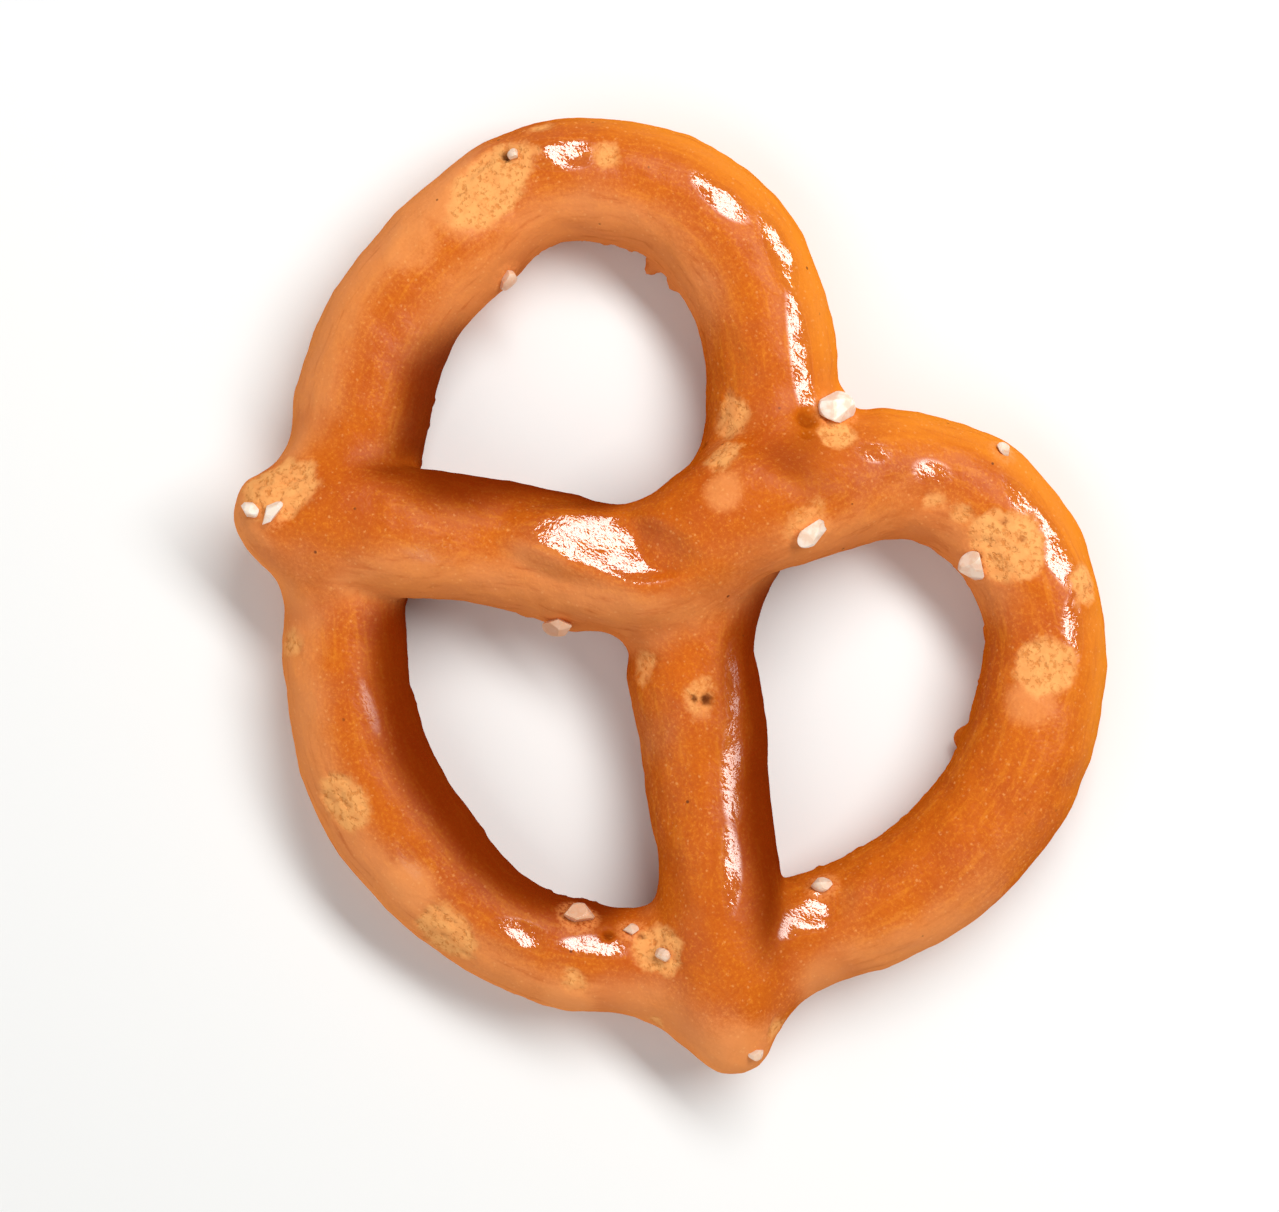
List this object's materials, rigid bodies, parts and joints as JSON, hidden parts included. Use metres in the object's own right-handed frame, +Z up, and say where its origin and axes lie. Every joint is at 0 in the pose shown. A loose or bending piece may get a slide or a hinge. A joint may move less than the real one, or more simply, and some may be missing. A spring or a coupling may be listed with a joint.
{
  "type": "pretzel",
  "caption": "Small hard-baked pretzel twist with a glazed crust and coarse salt grains, lying flat on its underside.",
  "frame": {"origin": "middle of the pretzel's box, on the surface that its flat underside rests on", "axes": "+Z up from the flat underside; +Y from the side of the bow where the ends are pressed on to the notch between the two upper lobes; +X to the right, seen from above"},
  "size_m": [0.0507, 0.0432, 0.0091],
  "materials": {
    "crust": "gloss",
    "salt": "satin"
  },
  "bodies": {
    "root": {"pretzel": "crust", "salt_grain_01": "salt", "salt_grain_02": "salt", "salt_grain_03": "salt", "salt_grain_04": "salt", "salt_grain_05": "salt", "salt_grain_06": "salt", "salt_grain_07": "salt", "salt_grain_08": "salt", "salt_grain_09": "salt", "salt_grain_10": "salt", "salt_grain_11": "salt", "salt_grain_12": "salt", "salt_grain_13": "salt", "salt_grain_14": "salt"}
  },
  "joints": []
}
